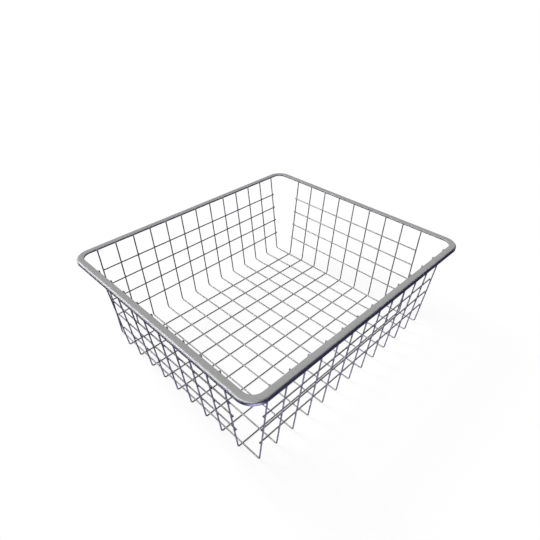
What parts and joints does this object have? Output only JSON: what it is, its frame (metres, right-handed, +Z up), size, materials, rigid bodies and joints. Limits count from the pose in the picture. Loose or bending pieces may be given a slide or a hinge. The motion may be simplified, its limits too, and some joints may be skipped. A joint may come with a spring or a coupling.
{
  "type": "wire basket",
  "caption": "Pull-out wire basket: an angle rim with round corners carries a welded grid of U-bent wires, with straight rungs inside four outward-leaning open walls.",
  "frame": {"origin": "on the ground below the middle of the basket: the floor wires' undersides are at zero", "axes": "+X along the basket's long side, +Y across it, +Z up through the open mouth"},
  "size_m": [0.503, 0.444, 0.179],
  "materials": {
    "rim": "thin satin grey coat over bent steel strip",
    "cross_wire": "thin satin grey coat over drawn steel wire",
    "long_wire": "thin satin grey coat over drawn steel wire",
    "rung": "thin satin grey coat over drawn steel wire"
  },
  "bodies": {
    "root": {"rim": "rim", "cross_wire_01": "cross_wire", "cross_wire_02": "cross_wire", "cross_wire_03": "cross_wire", "cross_wire_04": "cross_wire", "cross_wire_05": "cross_wire", "cross_wire_06": "cross_wire", "cross_wire_07": "cross_wire", "cross_wire_08": "cross_wire", "cross_wire_09": "cross_wire", "cross_wire_10": "cross_wire", "cross_wire_11": "cross_wire", "cross_wire_12": "cross_wire", "cross_wire_13": "cross_wire", "long_wire_01": "long_wire", "long_wire_02": "long_wire", "long_wire_03": "long_wire", "long_wire_04": "long_wire", "long_wire_05": "long_wire", "long_wire_06": "long_wire", "long_wire_07": "long_wire", "long_wire_08": "long_wire", "long_wire_09": "long_wire", "right_rung_1": "rung", "right_rung_2": "rung", "right_rung_3": "rung", "right_rung_4": "rung", "back_rung_1": "rung", "back_rung_2": "rung", "back_rung_3": "rung", "back_rung_4": "rung", "left_rung_1": "rung", "left_rung_2": "rung", "left_rung_3": "rung", "left_rung_4": "rung", "front_rung_1": "rung", "front_rung_2": "rung", "front_rung_3": "rung", "front_rung_4": "rung"}
  },
  "joints": []
}
